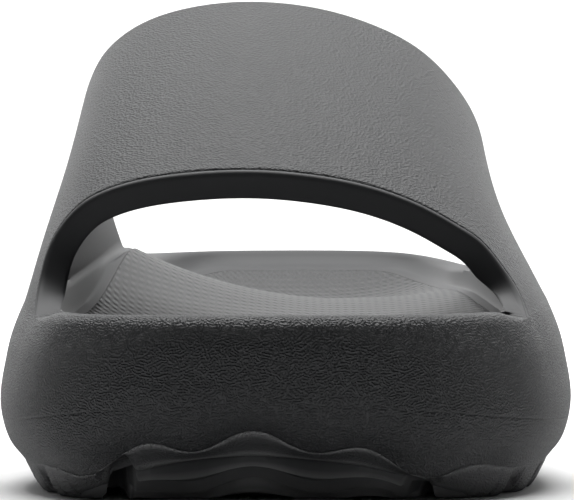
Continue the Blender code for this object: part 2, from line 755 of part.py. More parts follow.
def footbed_inlay():
    """Textured footbed that fills the pocket, clear of its floor and walls."""
    shell = Shell()
    ladder = top_ladder()
    top = ladder.ring(pocket_inset(outline(ladder.angles)[1]) + PIECE_GAP, 0.0)
    top[:, 2] = footbed_surface(top[:, 0], top[:, 1])
    under = top.copy()
    under[:, 2] -= POCKET_DEPTH - PIECE_GAP
    top_ring = shell.row(top)
    under_ring = shell.row(under)
    shell.strip(top_ring, under_ring, True)
    shell.patch(ladder, top_ring, footbed_grid(ladder, top, 0.0))
    shell.patch(ladder, under_ring, footbed_grid(ladder, top, POCKET_DEPTH - PIECE_GAP))
    return shell.solid("footbed", foam("footbed foam", FOOTBED_COLOR))


for item in list(bpy.data.objects):
    bpy.data.objects.remove(item, do_unlink=True)

moulded_body()
footbed_inlay()
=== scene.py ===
"""Sport slide sandal, left shoe.

The moulded foam body and its textured footbed, dressed, on a pale studio floor.
"""

from collections import namedtuple
import math

import bmesh
import bpy
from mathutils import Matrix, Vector
import numpy as np


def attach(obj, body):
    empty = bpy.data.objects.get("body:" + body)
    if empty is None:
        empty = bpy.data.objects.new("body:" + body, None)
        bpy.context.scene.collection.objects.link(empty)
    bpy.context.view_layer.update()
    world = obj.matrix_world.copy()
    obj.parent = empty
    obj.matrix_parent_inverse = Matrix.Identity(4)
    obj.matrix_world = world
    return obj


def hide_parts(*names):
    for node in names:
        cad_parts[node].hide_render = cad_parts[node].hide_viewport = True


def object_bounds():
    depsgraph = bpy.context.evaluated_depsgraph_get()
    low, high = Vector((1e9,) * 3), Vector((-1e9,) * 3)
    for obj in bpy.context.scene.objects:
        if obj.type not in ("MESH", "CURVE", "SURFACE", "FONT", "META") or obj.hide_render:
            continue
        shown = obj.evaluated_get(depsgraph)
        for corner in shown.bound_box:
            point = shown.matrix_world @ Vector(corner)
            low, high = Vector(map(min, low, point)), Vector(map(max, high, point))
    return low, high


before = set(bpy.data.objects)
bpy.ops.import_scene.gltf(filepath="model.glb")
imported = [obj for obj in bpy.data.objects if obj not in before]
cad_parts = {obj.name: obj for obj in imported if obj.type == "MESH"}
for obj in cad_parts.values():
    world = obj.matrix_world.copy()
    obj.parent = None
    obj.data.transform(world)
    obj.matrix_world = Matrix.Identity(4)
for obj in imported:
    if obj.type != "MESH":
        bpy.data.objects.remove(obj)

cad_low, cad_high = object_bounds()
LENGTH = cad_high[1] - cad_low[1]
WIDTH = cad_high[0] - cad_low[0]
TOE_TIP = cad_low[1]

# Studio. A pale floor that sweeps up behind the shoe, with a lamp of its own. A broad lamp above
# the heel lights the shoe, with two low ones behind it and a weak one in front.
# The camera looks at the toe from just above the floor, through a long lens.
CAMERA_DISTANCE = 1.150
CAMERA_HEIGHT = 0.062
AIM_HEIGHT = 0.0486
FOCAL_LENGTH = 379.0
SENSOR_WIDTH = 36.0
NEAREST_SEEN = 0.01
FURTHEST_SEEN = 20.0
FLOOR_HALF_WIDTH = 3.0
FLOOR_FRONT = -3.0
FLOOR_REAR = 2.2
SWEEP_RADIUS = 0.8
SWEEP_STEPS = 12
WALL_HEIGHT = 2.6
FLOOR_COLOR = (0.86, 0.86, 0.86, 1.0)
FLOOR_ROUGHNESS = 0.9
SURROUND_COLOR = (1.0, 1.0, 1.0, 1.0)
SURROUND_STRENGTH = 0.015

Lamp = namedtuple("Lamp", "name place aim width height power")
LAMPS = [
    Lamp("overhead_lamp", (0.0, 0.45, 1.20), (0.0, 0.0, 0.05), 1.2, 0.5, 27.0),
    Lamp("left_lamp", (-0.45, 1.25, 0.38), (0.0, 0.0, 0.05), 0.5, 0.5, 4.0),
    Lamp("right_lamp", (0.45, 1.25, 0.38), (0.0, 0.0, 0.05), 0.5, 0.5, 4.0),
    Lamp("front_lamp", (0.0, -1.60, 0.20), (0.0, 0.0, 0.0), 1.0, 0.2, 0.5),
    Lamp("backdrop_lamp", (0.0, 1.2, 1.8), (0.0, 2.8, 0.6), 2.2, 0.8, 75.0),
]


def aimed(item, place, aim):
    """Put a lamp or the camera at a place, looking at another."""
    item.location = place
    item.rotation_euler = (Vector(aim) - Vector(place)).to_track_quat("-Z", "Y").to_euler()
    bpy.context.scene.collection.objects.link(item)


camera = bpy.data.objects.new("camera", bpy.data.cameras.new("camera"))
camera.data.sensor_width = SENSOR_WIDTH
camera.data.lens = FOCAL_LENGTH
camera.data.clip_start = NEAREST_SEEN
camera.data.clip_end = FURTHEST_SEEN
aimed(camera, (0.0, TOE_TIP - CAMERA_DISTANCE, CAMERA_HEIGHT), (0.0, TOE_TIP, AIM_HEIGHT))
bpy.context.scene.camera = camera

for lamp in LAMPS:
    light = bpy.data.lights.new(lamp.name, "AREA")
    light.shape = "RECTANGLE"
    light.size = lamp.width
    light.size_y = lamp.height
    light.energy = lamp.power
    aimed(bpy.data.objects.new(lamp.name, light), lamp.place, lamp.aim)

world = bpy.data.worlds.new("studio")
world.use_nodes = True
world.node_tree.nodes["Background"].inputs["Color"].default_value = SURROUND_COLOR
world.node_tree.nodes["Background"].inputs["Strength"].default_value = SURROUND_STRENGTH
bpy.context.scene.world = world
bpy.context.scene.view_settings.view_transform = "Standard"

floor_line = [(FLOOR_FRONT, 0.0), (FLOOR_REAR, 0.0)]
for step in range(1, SWEEP_STEPS + 1):
    turn = math.pi / 2.0 * step / SWEEP_STEPS
    sweep_height = SWEEP_RADIUS * (1.0 - math.cos(turn))
    floor_line.append((FLOOR_REAR + SWEEP_RADIUS * math.sin(turn), sweep_height))
floor_line.append((FLOOR_REAR + SWEEP_RADIUS, WALL_HEIGHT))
floor_mesh = bpy.data.meshes.new("studio_floor")
floor_points = [(side * FLOOR_HALF_WIDTH, y, z) for y, z in floor_line for side in (-1.0, 1.0)]
floor_faces = [(2 * i, 2 * i + 1, 2 * i + 3, 2 * i + 2) for i in range(len(floor_line) - 1)]
floor_mesh.from_pydata(floor_points, [], floor_faces)
floor_mesh.shade_smooth()
floor_paint = bpy.data.materials.new("pale paper")
floor_paint.use_nodes = True
floor_shader = floor_paint.node_tree.nodes["Principled BSDF"]
floor_shader.inputs["Base Color"].default_value = FLOOR_COLOR
floor_shader.inputs["Roughness"].default_value = FLOOR_ROUGHNESS
floor_mesh.materials.append(floor_paint)
studio_floor = bpy.data.objects.new("studio_floor", floor_mesh)
bpy.context.scene.collection.objects.link(studio_floor)

# Moulded body: plan outline and heights. Sole and strap are one moulding of closed-cell foam.
# The outline is widest half way up the pillow-shaped side wall. All else is inset from it.
Outline = namedtuple("Outline", "along inner outer")
OUTLINE = [
    Outline(0.000, -0.12, -0.12),
    Outline(0.014, -0.50, 0.33),
    Outline(0.059, -0.775, 0.66),
    Outline(0.102, -0.88, 0.815),
    Outline(0.172, -0.965, 0.935),
    Outline(0.255, -1.000, 0.992),
    Outline(0.317, -0.990, 1.000),
    Outline(0.414, -0.930, 0.978),
    Outline(0.517, -0.853, 0.926),
    Outline(0.621, -0.790, 0.876),
    Outline(0.724, -0.750, 0.840),
    Outline(0.821, -0.718, 0.815),
    Outline(0.906, -0.636, 0.741),
    Outline(0.964, -0.480, 0.593),
    Outline(0.993, -0.235, 0.345),
    Outline(1.000, 0.070, 0.070),
]
RIM_HEIGHT = 0.036
Rim = namedtuple("Rim", "along inner outer")
RIM = [
    Rim(0.00, 1.000, 1.000),
    Rim(0.12, 1.010, 1.010),
    Rim(0.22, 1.075, 1.065),
    Rim(0.35, 1.140, 1.120),
    Rim(0.48, 1.245, 1.150),
    Rim(0.60, 1.330, 1.180),
    Rim(0.75, 1.285, 1.175),
    Rim(0.90, 1.255, 1.200),
    Rim(1.00, 1.255, 1.255),
]
TOE_SPRING_HEIGHT = 0.016
TOE_SPRING_LENGTH = 0.035
SPRING_POWER = 2.4
HEEL_BEVEL_HEIGHT = 0.005
HEEL_BEVEL_LENGTH = 0.028
BEVEL_POWER = 1.8
TREAD_KINK_HEIGHT = 0.0058
TOE_KINK_LIFT = 0.0064
TOE_FACE_RUN = 0.045
TOE_SCALLOP_HEIGHT = 0.0019
WAVE_LENGTH = 0.024
WAVE_OFFSET = -0.0065
WAVE_TURN = 2.0 * math.pi / WAVE_LENGTH
KINK_LIFT_MIDDLE = -0.008
KINK_LIFT_REACH = 0.027
OUTLINE_SAMPLES = 600
ANGLE_STEP = 1e-3
END_BLEND_POWER = 1.5


def curve(knots, values):
    """Smooth curve through a table's values, as a function that reads it at an array of places."""
    knots = np.asarray(knots, float)
    values = np.asarray(values, float)
    count = len(knots)
    steps = np.diff(knots)
    slopes = np.diff(values) / steps
    matrix = np.eye(count)
    right = np.zeros(count)
    for i in range(1, count - 1):
        matrix[i, i - 1] = steps[i - 1]
        matrix[i, i] = 2.0 * (steps[i - 1] + steps[i])
        matrix[i, i + 1] = steps[i]
        right[i] = 3.0 * (slopes[i] - slopes[i - 1])
    bends = np.linalg.solve(matrix, right)

    def read(places):
        places = np.clip(np.asarray(places, float), knots[0], knots[-1])
        i = np.clip(np.searchsorted(knots, places, side="right") - 1, 0, count - 2)
        step = steps[i]
        offset = places - knots[i]
        start_slope = slopes[i] - step * (2.0 * bends[i] + bends[i + 1]) / 3.0
        cubic = (bends[i + 1] - bends[i]) / (3.0 * step)
        return values[i] + offset * (start_slope + offset * (bends[i] + offset * cubic))

    return read


def column(table, name):
    """Curve through one named column of a table that runs along the shoe."""
    return curve([row.along for row in table], [getattr(row, name) for row in table])


def outline_curve():
    """Plan outline across the shoe, by the angle that runs once round it from the toe tip."""
    angle = [math.acos(1.0 - 2.0 * row.along) for row in OUTLINE]
    outer = [row.outer for row in OUTLINE]
    inner = [row.inner for row in OUTLINE]
    full = 2.0 * math.pi
    angles = angle[:-1] + [full - a for a in reversed(angle[1:])]
    across = outer[:-1] + list(reversed(inner[1:]))
    wrapped_angles = [a - full for a in angles] + angles + [a + full for a in angles]
    return curve(wrapped_angles, across * 3)


outline_across = outline_curve()
rim_inner = column(RIM, "inner")
rim_outer = column(RIM, "outer")


def outline(angles):
    """Points of the widest outline, with y measured from the toe tip."""
    angles = np.asarray(angles, float)
    return outline_across(angles) * WIDTH / 2.0, (1.0 - np.cos(angles)) * LENGTH / 2.0


def inward(angles):
    """Unit directions in plan, square to the outline and into the shoe."""
    x0, y0 = outline(np.asarray(angles) - ANGLE_STEP)
    x1, y1 = outline(np.asarray(angles) + ANGLE_STEP)
    size = np.hypot(x1 - x0, y1 - y0)
    return -(y1 - y0) / size, (x1 - x0) / size


def side_angle(y, outer):
    """Angle of the outline where it passes a place along the shoe on one side."""
    angle = np.arccos(np.clip(1.0 - 2.0 * np.asarray(y, float) / LENGTH, -1.0, 1.0))
    return angle if outer else 2.0 * math.pi - angle


def even_angles(start, end, marks, count):
    """Angles of points along the outline: at marks from each end, and at even lengths between."""
    fine = np.linspace(start, end, OUTLINE_SAMPLES)
    x, y = outline(fine)
    run = np.concatenate([[0.0], np.cumsum(np.hypot(np.diff(x), np.diff(y)))])
    marks = np.array(marks)
    middle = np.linspace(marks[-1], run[-1] - marks[-1], count + 3 - 2 * len(marks))
    places = middle
    if len(marks) > 1:
        places = np.concatenate([marks[:-1], middle, run[-1] - marks[-2::-1]])
    return np.interp(places, run, fine)


def rim_height(x, y):
    """Height of the rim at a plan point, blended across the shoe from inner to outer side."""
    share = np.clip(0.5 + x / WIDTH, 0.0, 1.0)
    return RIM_HEIGHT * (rim_inner(y / LENGTH) * (1.0 - share) + rim_outer(y / LENGTH) * share)


def heel_share(y):
    """Zero along the sole, rising to one at the very end of the heel."""
    return np.clip(1.0 - (LENGTH - y) / HEEL_BEVEL_LENGTH, 0.0, 1.0)


def toe_share(y):
    """One at the toe tip, falling to zero where the toe's upright face ends."""
    return np.clip(1.0 - y / TOE_FACE_RUN, 0.0, 1.0)


def ground_height(y):
    """Height of the uncut tread: flat in the middle, sprung at the toe, bevelled at the heel."""
    toe = np.clip(1.0 - y / TOE_SPRING_LENGTH, 0.0, 1.0)
    return TOE_SPRING_HEIGHT * toe**SPRING_POWER + HEEL_BEVEL_HEIGHT * heel_share(y) ** BEVEL_POWER


def kink_height(x, y):
    """Height of the kink between tread and wall: scalloped at the toe, lifted in its middle."""
    bell = np.exp(-(((x - KINK_LIFT_MIDDLE) / KINK_LIFT_REACH) ** 4))
    scallop = TOE_SCALLOP_HEIGHT * np.cos(WAVE_TURN * (x - WAVE_OFFSET))
    lift = (TOE_KINK_LIFT * bell + scallop) * toe_share(y)
    return TREAD_KINK_HEIGHT + lift + HEEL_BEVEL_HEIGHT * heel_share(y) ** BEVEL_POWER


class Ladder:
    """Stations round the outline in four runs: toe, outer side, heel and inner side.

    Rungs join the two sides.
    """

    def __init__(self, places, columns, marks=(0.0,)):
        self.columns = columns
        self.rows = len(places) - 1
        full = 2.0 * math.pi
        toe = float(side_angle(places[0], True))
        heel = float(side_angle(places[-1], True))
        parts = [
            even_angles(float(side_angle(places[0], False)) - full, toe, marks, columns)[:-1],
            side_angle(places, True)[:-1],
            even_angles(heel, float(side_angle(places[-1], False)), marks, columns)[:-1],
            side_angle(places[::-1], False)[:-1],
        ]
        self.angles = np.concatenate(parts)
        self.count = len(self.angles)
        self.x, self.y = outline(self.angles)
        self.step_x, self.step_y = inward(self.angles)
        steps = np.hypot(np.diff(self.x), np.diff(self.y))
        self.marks = np.concatenate([[0.0], np.cumsum(steps)])
        self.toe = np.arange(columns + 1)
        self.outer = columns + np.arange(self.rows + 1)
        self.heel = 2 * columns + self.rows - np.arange(columns + 1)
        self.inner = (2 * columns + 2 * self.rows - np.arange(self.rows + 1)) % self.count

    def ring(self, inset, height):
        """Points inset from the outline. Inset and height are one number, or one a station."""
        x = self.x + self.step_x * inset
        y = self.y + self.step_y * inset
        return np.column_stack([x, y, np.broadcast_to(height, x.shape)])

    def plan(self, ring, shares, blend):
        """Plan points of every rung between the four sides of a ring."""
        inner = ring[self.inner, :2]
        outer = ring[self.outer, :2]
        straight = inner[:, None, :] + (outer - inner)[:, None, :] * shares[:, :, None]
        middle = (inner[:, 1] + outer[:, 1]) / 2.0
        toe_fade = np.clip(1.0 - (middle - middle[0]) / blend, 0.0, 1.0) ** END_BLEND_POWER
        heel_fade = np.clip(1.0 - (middle[-1] - middle) / blend, 0.0, 1.0) ** END_BLEND_POWER
        plan = straight + toe_fade[:, None, None] * (ring[self.toe, :2] - straight[0])[None]
        return plan + heel_fade[:, None, None] * (ring[self.heel, :2] - straight[-1])[None]


class Shell:
    """Points and faces of one closed body, gathered row by row.

    Each point carries how much of either grain it has, and how much painted highlight it takes.
    """

    def __init__(self):
        self.points = []
        self.faces = []
        self.grains = []

    def row(self, points, wrinkle=0.0, pebble=0.0, rubbed=0.0):
        start = len(self.points)
        self.points.extend(tuple(point) for point in np.asarray(points, float).tolist())
        trio = np.broadcast_arrays(wrinkle, pebble, rubbed, np.zeros(len(points)))[:3]
        self.grains.extend(zip(*(values.tolist() for values in trio)))
        return list(range(start, len(self.points)))

    def strip(self, one, two, closed):
        count = len(one)
        for i in range(count if closed else count - 1):
            j = (i + 1) % count
            self.faces.append((one[i], one[j], two[j], two[i]))

    def stitch(self, one, one_marks, two, two_marks, total):
        """Triangles between two closed rings of different counts that start at the same place."""
        i = 0
        j = 0
        while i < len(one) or j < len(two):
            next_one = one_marks[i + 1] if i + 1 < len(one) else total
            next_two = two_marks[j + 1] if j + 1 < len(two) else total
            a = one[i % len(one)]
            b = two[j % len(two)]
            if j >= len(two) or (i < len(one) and next_one <= next_two):
                self.faces.append((a, one[(i + 1) % len(one)], b))
                i += 1
            else:
                self.faces.append((a, two[(j + 1) % len(two)], b))
                j += 1

    def patch(self, ladder, ring, inside, rubbed=None):
        """Fill a closed ring with the ladder's rungs. Only the points inside the ring are new."""
        rubbed = np.zeros(inside.shape[:2]) if rubbed is None else rubbed
        rows = [[ring[i] for i in ladder.toe]]
        for i in range(1, ladder.rows):
            middle = self.row(inside[i, 1:-1], rubbed=rubbed[i, 1:-1])
            rows.append([ring[ladder.inner[i]]] + middle + [ring[ladder.outer[i]]])
        rows.append([ring[i] for i in ladder.heel])
        for one, two in zip(rows, rows[1:]):
            self.strip(one, two, False)

    def piece(self, name, materials, sharp_degrees):
        """One object of the gathered faces.

        Wrinkled faces take the first material, and plain ones the last.
        """
        mesh = bpy.data.meshes.new(name)
        shell = bmesh.new()
        points = [shell.verts.new((x, y + TOE_TIP, z)) for x, y, z in self.points]
        for face in self.faces:
            shell.faces.new([points[i] for i in face])
        bmesh.ops.recalc_face_normals(shell, faces=shell.faces)
        shell.to_mesh(mesh)
        shell.free()
        for label, values in zip(("wrinkle", "pebble", "rubbed"), zip(*self.grains)):
            mesh.attributes.new(label, "FLOAT", "POINT").data.foreach_set("value", values)
        mesh.shade_smooth()
        mesh.set_sharp_from_angle(angle=math.radians(sharp_degrees))
        for material in materials:
            mesh.materials.append(material)
        plain = len(materials) - 1
        index = [0 if any(self.grains[i][0] > 0.0 for i in face) else plain for face in self.faces]
        mesh.polygons.foreach_set("material_index", index)
        item = bpy.data.objects.new(name, mesh)
        bpy.context.scene.collection.objects.link(item)
        return item


# Tread of the moulded body: a border notched in its side, a channel inside it, and wavy ridges.
# It is part of the same moulding, and its ridge tops stand on the floor.
TREAD_EDGE_INSET = 0.008
TREAD_DEPTH = 0.008
SIDE_NOTCH_DEPTH = 0.003
SIDE_NOTCH_WIDTH = 0.008
TOE_CORNER_DISTANCE = 0.020
HEEL_CORNER_DISTANCE = 0.022
TOE_BORDER_WIDTH = 0.013
OUTER_NOTCH_SHARE = 0.38
BORDER_WIDTH = 0.011
CHANNEL_WIDTH = 0.009
RIDGE_PITCH = 0.022
WAVE_HEIGHT = 0.003
TOE_WAVE_HEIGHT = 0.0022
END_BLEND_LENGTH = 0.090
FIELD_COLUMNS = 64
EDGE_ROUND = 0.0006
END_ROW_STEPS = 6

# Steps across the sprung toe: distance behind the toe corner, how far the sole lies above its
# uncut form, and how much painted highlight its edge takes
Step = namedtuple("Step", "distance lift rubbed")
TOE_STEPS = [
    Step(0.0003, 0.0003, 0.0),
    Step(0.0007, -0.0006, 0.0),
    Step(0.0010, -0.0017, 0.5),
    Step(0.0014, -0.0013, 0.2),
    Step(0.0022, -0.0010, 0.0),
    Step(0.0025, -0.0018, 0.0),
    Step(0.0029, -0.0030, 0.0),
    Step(0.0034, -0.0024, 0.0),
    Step(0.0048, -0.0013, 0.0),
    Step(0.0066, -0.0002, 0.0),
    Step(0.0080, 0.0006, 0.2),
    Step(0.0084, 0.0000, 1.0),
    Step(0.0087, -0.0014, 0.4),
    Step(0.0091, -0.0019, 0.6),
    Step(0.0098, -0.0014, 0.2),
    Step(0.0107, -0.0009, 0.3),
    Step(0.0111, -0.0013, 1.0),
    Step(0.0116, -0.0008, 0.6),
]
LOWEST_STEP = 0.0003
TOE_WAVE_ROWS = 5.0
FRONT_NOTCH_ROWS = 4.0
SIDE_NOTCH_POWER = 3
CORNER_DEPTH = 0.05
EDGE_TOP_DEPTH = 0.06
EDGE_FOOT_DEPTH = 0.94
EDGE_TOP_GATE = 0.2
NOTCH_RISE = 0.0035

# Tread profile across one side: distance from the edge, and depth as a share of the tread depth
Border = namedtuple("Border", "distance depth")
BORDER = [
    Border(0.0000, 0.05),
    Border(0.0006, 0.00),
    Border(0.0030, 0.00),
    Border(0.0060, 0.00),
    Border(0.0104, 0.00),
    Border(0.0110, 0.06),
    Border(0.0116, 0.55),
    Border(0.0124, 0.94),
    Border(0.0132, 1.00),
    Border(0.0165, 1.00),
    Border(0.0192, 0.94),
    Border(0.0200, 0.55),
    Border(0.0206, 0.06),
    Border(0.0212, 0.00),
]
BORDER_POINTS = 6
WAVE_FIRST_COLUMN = 9
WAVE_FADE_COLUMNS = 4.0

# One ridge from front to rear, in shares of the ridge pitch and of the tread depth
Ridge = namedtuple("Ridge", "along depth")
RIDGE = [
    Ridge(0.000, 0.700),
    Ridge(0.015, 0.660),
    Ridge(0.070, 0.640),
    Ridge(0.085, 0.600),
    Ridge(0.100, 0.420),
    Ridge(0.120, 0.380),
    Ridge(0.165, 0.360),
    Ridge(0.180, 0.320),
    Ridge(0.200, 0.050),
    Ridge(0.225, 0.000),
    Ridge(0.400, 0.000),
    Ridge(0.575, 0.000),
    Ridge(0.600, 0.060),
    Ridge(0.640, 0.900),
    Ridge(0.665, 1.000),
    Ridge(0.800, 1.000),
    Ridge(0.935, 1.000),
    Ridge(0.970, 0.940),
]

Rung = namedtuple("Rung", "place depth gate lift")


def tread_rungs():
    """Rungs along the side of the tread. The gate says whether side channels are cut there."""
    corner = LENGTH - HEEL_CORNER_DISTANCE
    first = TOE_CORNER_DISTANCE + TOE_BORDER_WIDTH
    last = corner - BORDER_WIDTH
    start = first + CHANNEL_WIDTH
    end = last - CHANNEL_WIDTH
    ridges = max(3, round((end - start) / RIDGE_PITCH))
    pitch = (end - start) / ridges
    rungs = [Rung(TOE_CORNER_DISTANCE, 0.0, 0.0, 0.0)]
    rungs += [Rung(TOE_CORNER_DISTANCE + step.distance, 0.0, 0.0, step.lift) for step in TOE_STEPS]
    rungs.append(Rung(first - EDGE_ROUND, EDGE_TOP_DEPTH, EDGE_TOP_GATE, 0.0))
    rungs.append(Rung(first + EDGE_ROUND, EDGE_FOOT_DEPTH, 1.0, 0.0))
    rungs.append(Rung(first + 3.0 * EDGE_ROUND, 1.0, 1.0, 0.0))
    rungs.append(Rung((first + start) / 2.0, 1.0, 1.0, 0.0))
    rungs.append(Rung(start - EDGE_ROUND, EDGE_FOOT_DEPTH, 1.0, 0.0))
    for number in range(ridges):
        for row in RIDGE:
            rungs.append(Rung(start + pitch * (number + row.along), row.depth, 1.0, 0.0))
    rungs.append(Rung(end, 1.0, 1.0, 0.0))
    rungs.append(Rung((end + last) / 2.0, 1.0, 1.0, 0.0))
    rungs.append(Rung(last - EDGE_ROUND, EDGE_FOOT_DEPTH, 1.0, 0.0))
    rungs.append(Rung(last + EDGE_ROUND, EDGE_TOP_DEPTH, EDGE_TOP_GATE, 0.0))
    heel_places = np.linspace(last + 2.0 * EDGE_ROUND, corner - EDGE_ROUND, END_ROW_STEPS)
    rungs += [Rung(place, 0.0, 0.0, 0.0) for place in heel_places]
    rungs.append(Rung(corner, CORNER_DEPTH, 0.0, 0.0))
    return rungs


body = Shell()
rungs = tread_rungs()
border_at = np.array([row.distance for row in BORDER])
tread_places = np.array([rung.place for rung in rungs])
tread = Ladder(tread_places, 2 * (len(BORDER) - 1) + FIELD_COLUMNS, border_at)
rung_depth = np.array([rung.depth for rung in rungs])
rung_gate = np.array([rung.gate for rung in rungs])
rung_lift = np.array([rung.lift for rung in rungs])
edge = tread.ring(TREAD_EDGE_INSET, 0.0)
border_depth = np.array([row.depth for row in BORDER])
shares = np.zeros((tread.rows + 1, tread.columns + 1))
for i in range(tread.rows + 1):
    near = border_at / np.linalg.norm(edge[tread.outer[i], :2] - edge[tread.inner[i], :2])
    field = np.linspace(near[-1], 1.0 - near[-1], FIELD_COLUMNS + 1)
    shares[i] = np.concatenate([near[:-1], field, 1.0 - near[:-1][::-1]])
side_depth = border_depth[:-1]
column_depth = np.concatenate([side_depth, np.zeros(FIELD_COLUMNS + 1), side_depth[::-1]])
column_index = np.arange(tread.columns + 1)
from_side = np.minimum(column_index, tread.columns - column_index)
in_border = (from_side < BORDER_POINTS).astype(float)
in_field = np.clip((from_side - WAVE_FIRST_COLUMN) / WAVE_FADE_COLUMNS, 0.0, 1.0)
plan = tread.plan(edge, shares, END_BLEND_LENGTH)
row_index = np.arange(tread.rows + 1)
toe_rows = row_index <= len(TOE_STEPS)
toe_wave_height = TOE_WAVE_HEIGHT * np.clip(row_index / TOE_WAVE_ROWS, 0.0, 1.0)
wave_height = np.where(toe_rows, toe_wave_height, WAVE_HEIGHT)
wave_height = wave_height * np.clip((tread.rows - row_index) / END_ROW_STEPS, 0.0, 1.0)
wave = np.cos(WAVE_TURN * (plan[:, :, 0] - WAVE_OFFSET))
plan[:, :, 1] -= wave_height[:, None] * wave * in_field[None, :]
channel_depth = rung_gate[:, None] * column_depth[None, :]
ridge_depth = rung_depth[:, None] * (1.0 - in_border)[None, :]
depth = np.maximum(channel_depth, ridge_depth)
notch_side = np.where(column_index < tread.columns / 2, 1.0, OUTER_NOTCH_SHARE)
notch_start = toe_rows * np.clip(row_index / FRONT_NOTCH_ROWS, 0.0, 1.0)
front_notch = notch_start[:, None] * (column_depth * notch_side)[None, :]
depth = np.maximum(depth, front_notch)
notch = (np.clip(rung_depth, 0.0, 1.0) * rung_gate)[:, None] ** SIDE_NOTCH_POWER
distance = np.concatenate([border_at, np.full(FIELD_COLUMNS - 1, 1.0), border_at[::-1]])
side_fall = np.clip(1.0 - distance / SIDE_NOTCH_WIDTH, 0.0, 1.0)[None, :]
uncut = ground_height(plan[:, :, 1])
lift = rung_lift[:, None] * (1.0 - np.clip(front_notch, 0.0, 1.0))
stepped = np.maximum(uncut + lift, np.minimum(uncut, LOWEST_STEP))
height = stepped + TREAD_DEPTH * depth + SIDE_NOTCH_DEPTH * notch * side_fall
inside = np.dstack([plan, height])
edge[:, 2] = ground_height(edge[:, 1]) + EDGE_ROUND / 2.0
edge[tread.toe, 2] += NOTCH_RISE * column_depth * notch_side
edge[tread.inner, 2] = height[:, 0]
edge[tread.outer, 2] = height[:, -1]

# Foot of the side wall: fall is a share of the way down from the kink to the tread's edge.
# At the toe a scalloped ledge stands proud of the wall, and its foot turns under into the recess.
# The last column is a painted highlight: how much paler the foam is painted along the ledge's
# edges, where light would catch them.
Foot = namedtuple("Foot", "fall inset toe_inset rubbed")
FOOT = [
    Foot(0.00, 0.625, 0.560, 0.0),
    Foot(0.03, 0.630, 0.515, 0.8),
    Foot(0.07, 0.640, 0.490, 1.0),
    Foot(0.14, 0.662, 0.485, 0.4),
    Foot(0.28, 0.710, 0.505, 0.0),
    Foot(0.50, 0.785, 0.570, 0.0),
    Foot(0.72, 0.860, 0.665, 0.1),
    Foot(0.88, 0.930, 0.790, 0.7),
    Foot(0.96, 0.975, 0.900, 0.4),
    Foot(1.00, 1.000, 1.000, 0.0),
]
LEDGE_GRAIN_LOSS = 0.6
LEDGE_FALL = 0.2
kink = kink_height(tread.x, tread.y)
toe = toe_share(tread.y)
foot_rings = []
for row in FOOT:
    inset = (row.inset + (row.toe_inset - row.inset) * toe) * TREAD_EDGE_INSET
    points = tread.ring(inset, kink + (edge[:, 2] - kink) * row.fall)
    grain = 1.0 - LEDGE_GRAIN_LOSS * toe * min(1.0, row.fall / LEDGE_FALL)
    foot_rings.append(body.row(points, wrinkle=np.clip(grain, 0.0, 1.0), rubbed=row.rubbed * toe))
for one, two in zip(foot_rings, foot_rings[1:]):
    body.strip(one, two, True)
# Painted highlight along the edges of the toe's steps, carried into the tread's points
step_painted_highlight = np.zeros(len(rungs))
step_painted_highlight[1:len(TOE_STEPS) + 1] = [step.rubbed for step in TOE_STEPS]
body.patch(tread, foot_rings[-1], inside, step_painted_highlight[:, None] * in_field[None, :])

# Side wall of the moulded body: it swells out like a pillow above the tread, up to the rim.
# The wall carries the mould's wrinkled grain, over the toe's lip too.
RIM_INSET = 0.0048
TOE_RIM_INSET = 0.0018
RIM_WIDTH = 0.006
RIM_ROUND = 0.002
RIM_STEPS = 10
WALL_STEPS = 5
STRAP_SETBACK = 0.040
STRAP_LENGTH = 0.140
TOP_COLUMNS = 56
TOE_ROWS = 12
STRAP_ROWS = 56
HEEL_ROWS = 36
CREST_FADE_ROWS = 8.0

Wall = namedtuple("Wall", "rise inset toe_inset")
WALL = [
    Wall(0.00, 0.625, 0.560),
    Wall(0.06, 0.430, 0.400),
    Wall(0.16, 0.180, 0.180),
    Wall(0.38, 0.000, 0.000),
    Wall(0.61, 0.110, 0.010),
    Wall(0.80, 0.280, 0.060),
    Wall(1.00, 0.600, 0.225),
]
EDGE_ROWS = [0.0, 0.0002, 0.0006, 0.0011, 0.0015, 0.0019, 0.0023, 0.0027, 0.0032, 0.0042, 0.0062]

strap_end = STRAP_SETBACK + STRAP_LENGTH
front_rows = [STRAP_SETBACK + step for step in EDGE_ROWS]
rear_rows = [strap_end - step for step in reversed(EDGE_ROWS)]
top_places = np.concatenate([
    np.linspace(TOE_CORNER_DISTANCE, STRAP_SETBACK, TOE_ROWS + 1)[:-1],
    front_rows[:-1],
    np.linspace(front_rows[-1], rear_rows[0], STRAP_ROWS + 1),
    rear_rows[1:],
    np.linspace(strap_end, LENGTH - HEEL_CORNER_DISTANCE, HEEL_ROWS + 1)[1:],
])
top = Ladder(top_places, TOP_COLUMNS)
first_row = TOE_ROWS
last_row = first_row + STRAP_ROWS + 2 * (len(EDGE_ROWS) - 1)
zone = np.arange(first_row, last_row + 1)
kink = kink_height(top.x, top.y)
rim = rim_height(top.x, top.y)
toe = toe_share(top.y)
rim_inset = RIM_INSET + (TOE_RIM_INSET - RIM_INSET) * toe
wall_index = np.arange(len(WALL))
wall_rise = curve(wall_index, [row.rise for row in WALL])
wall_inset = curve(wall_index, [row.inset for row in WALL])
wall_toe_inset = curve(wall_index, [row.toe_inset for row in WALL])
wall_rings = []
for place in np.linspace(0.0, len(WALL) - 1.0, WALL_STEPS * (len(WALL) - 1) + 1)[1:]:
    share = float(wall_inset(place))
    inset = (share + (float(wall_toe_inset(place)) - share) * toe) * TREAD_EDGE_INSET
    points = top.ring(inset, kink + float(wall_rise(place)) * (rim - RIM_ROUND - kink))
    wall_rings.append(body.row(points, wrinkle=1.0))
body.stitch(foot_rings[0], tread.marks, wall_rings[0], top.marks, tread.marks[-1] * 2.0)
for one, two in zip(wall_rings, wall_rings[1:]):
    body.strip(one, two, True)
out_ring = wall_rings[-1]
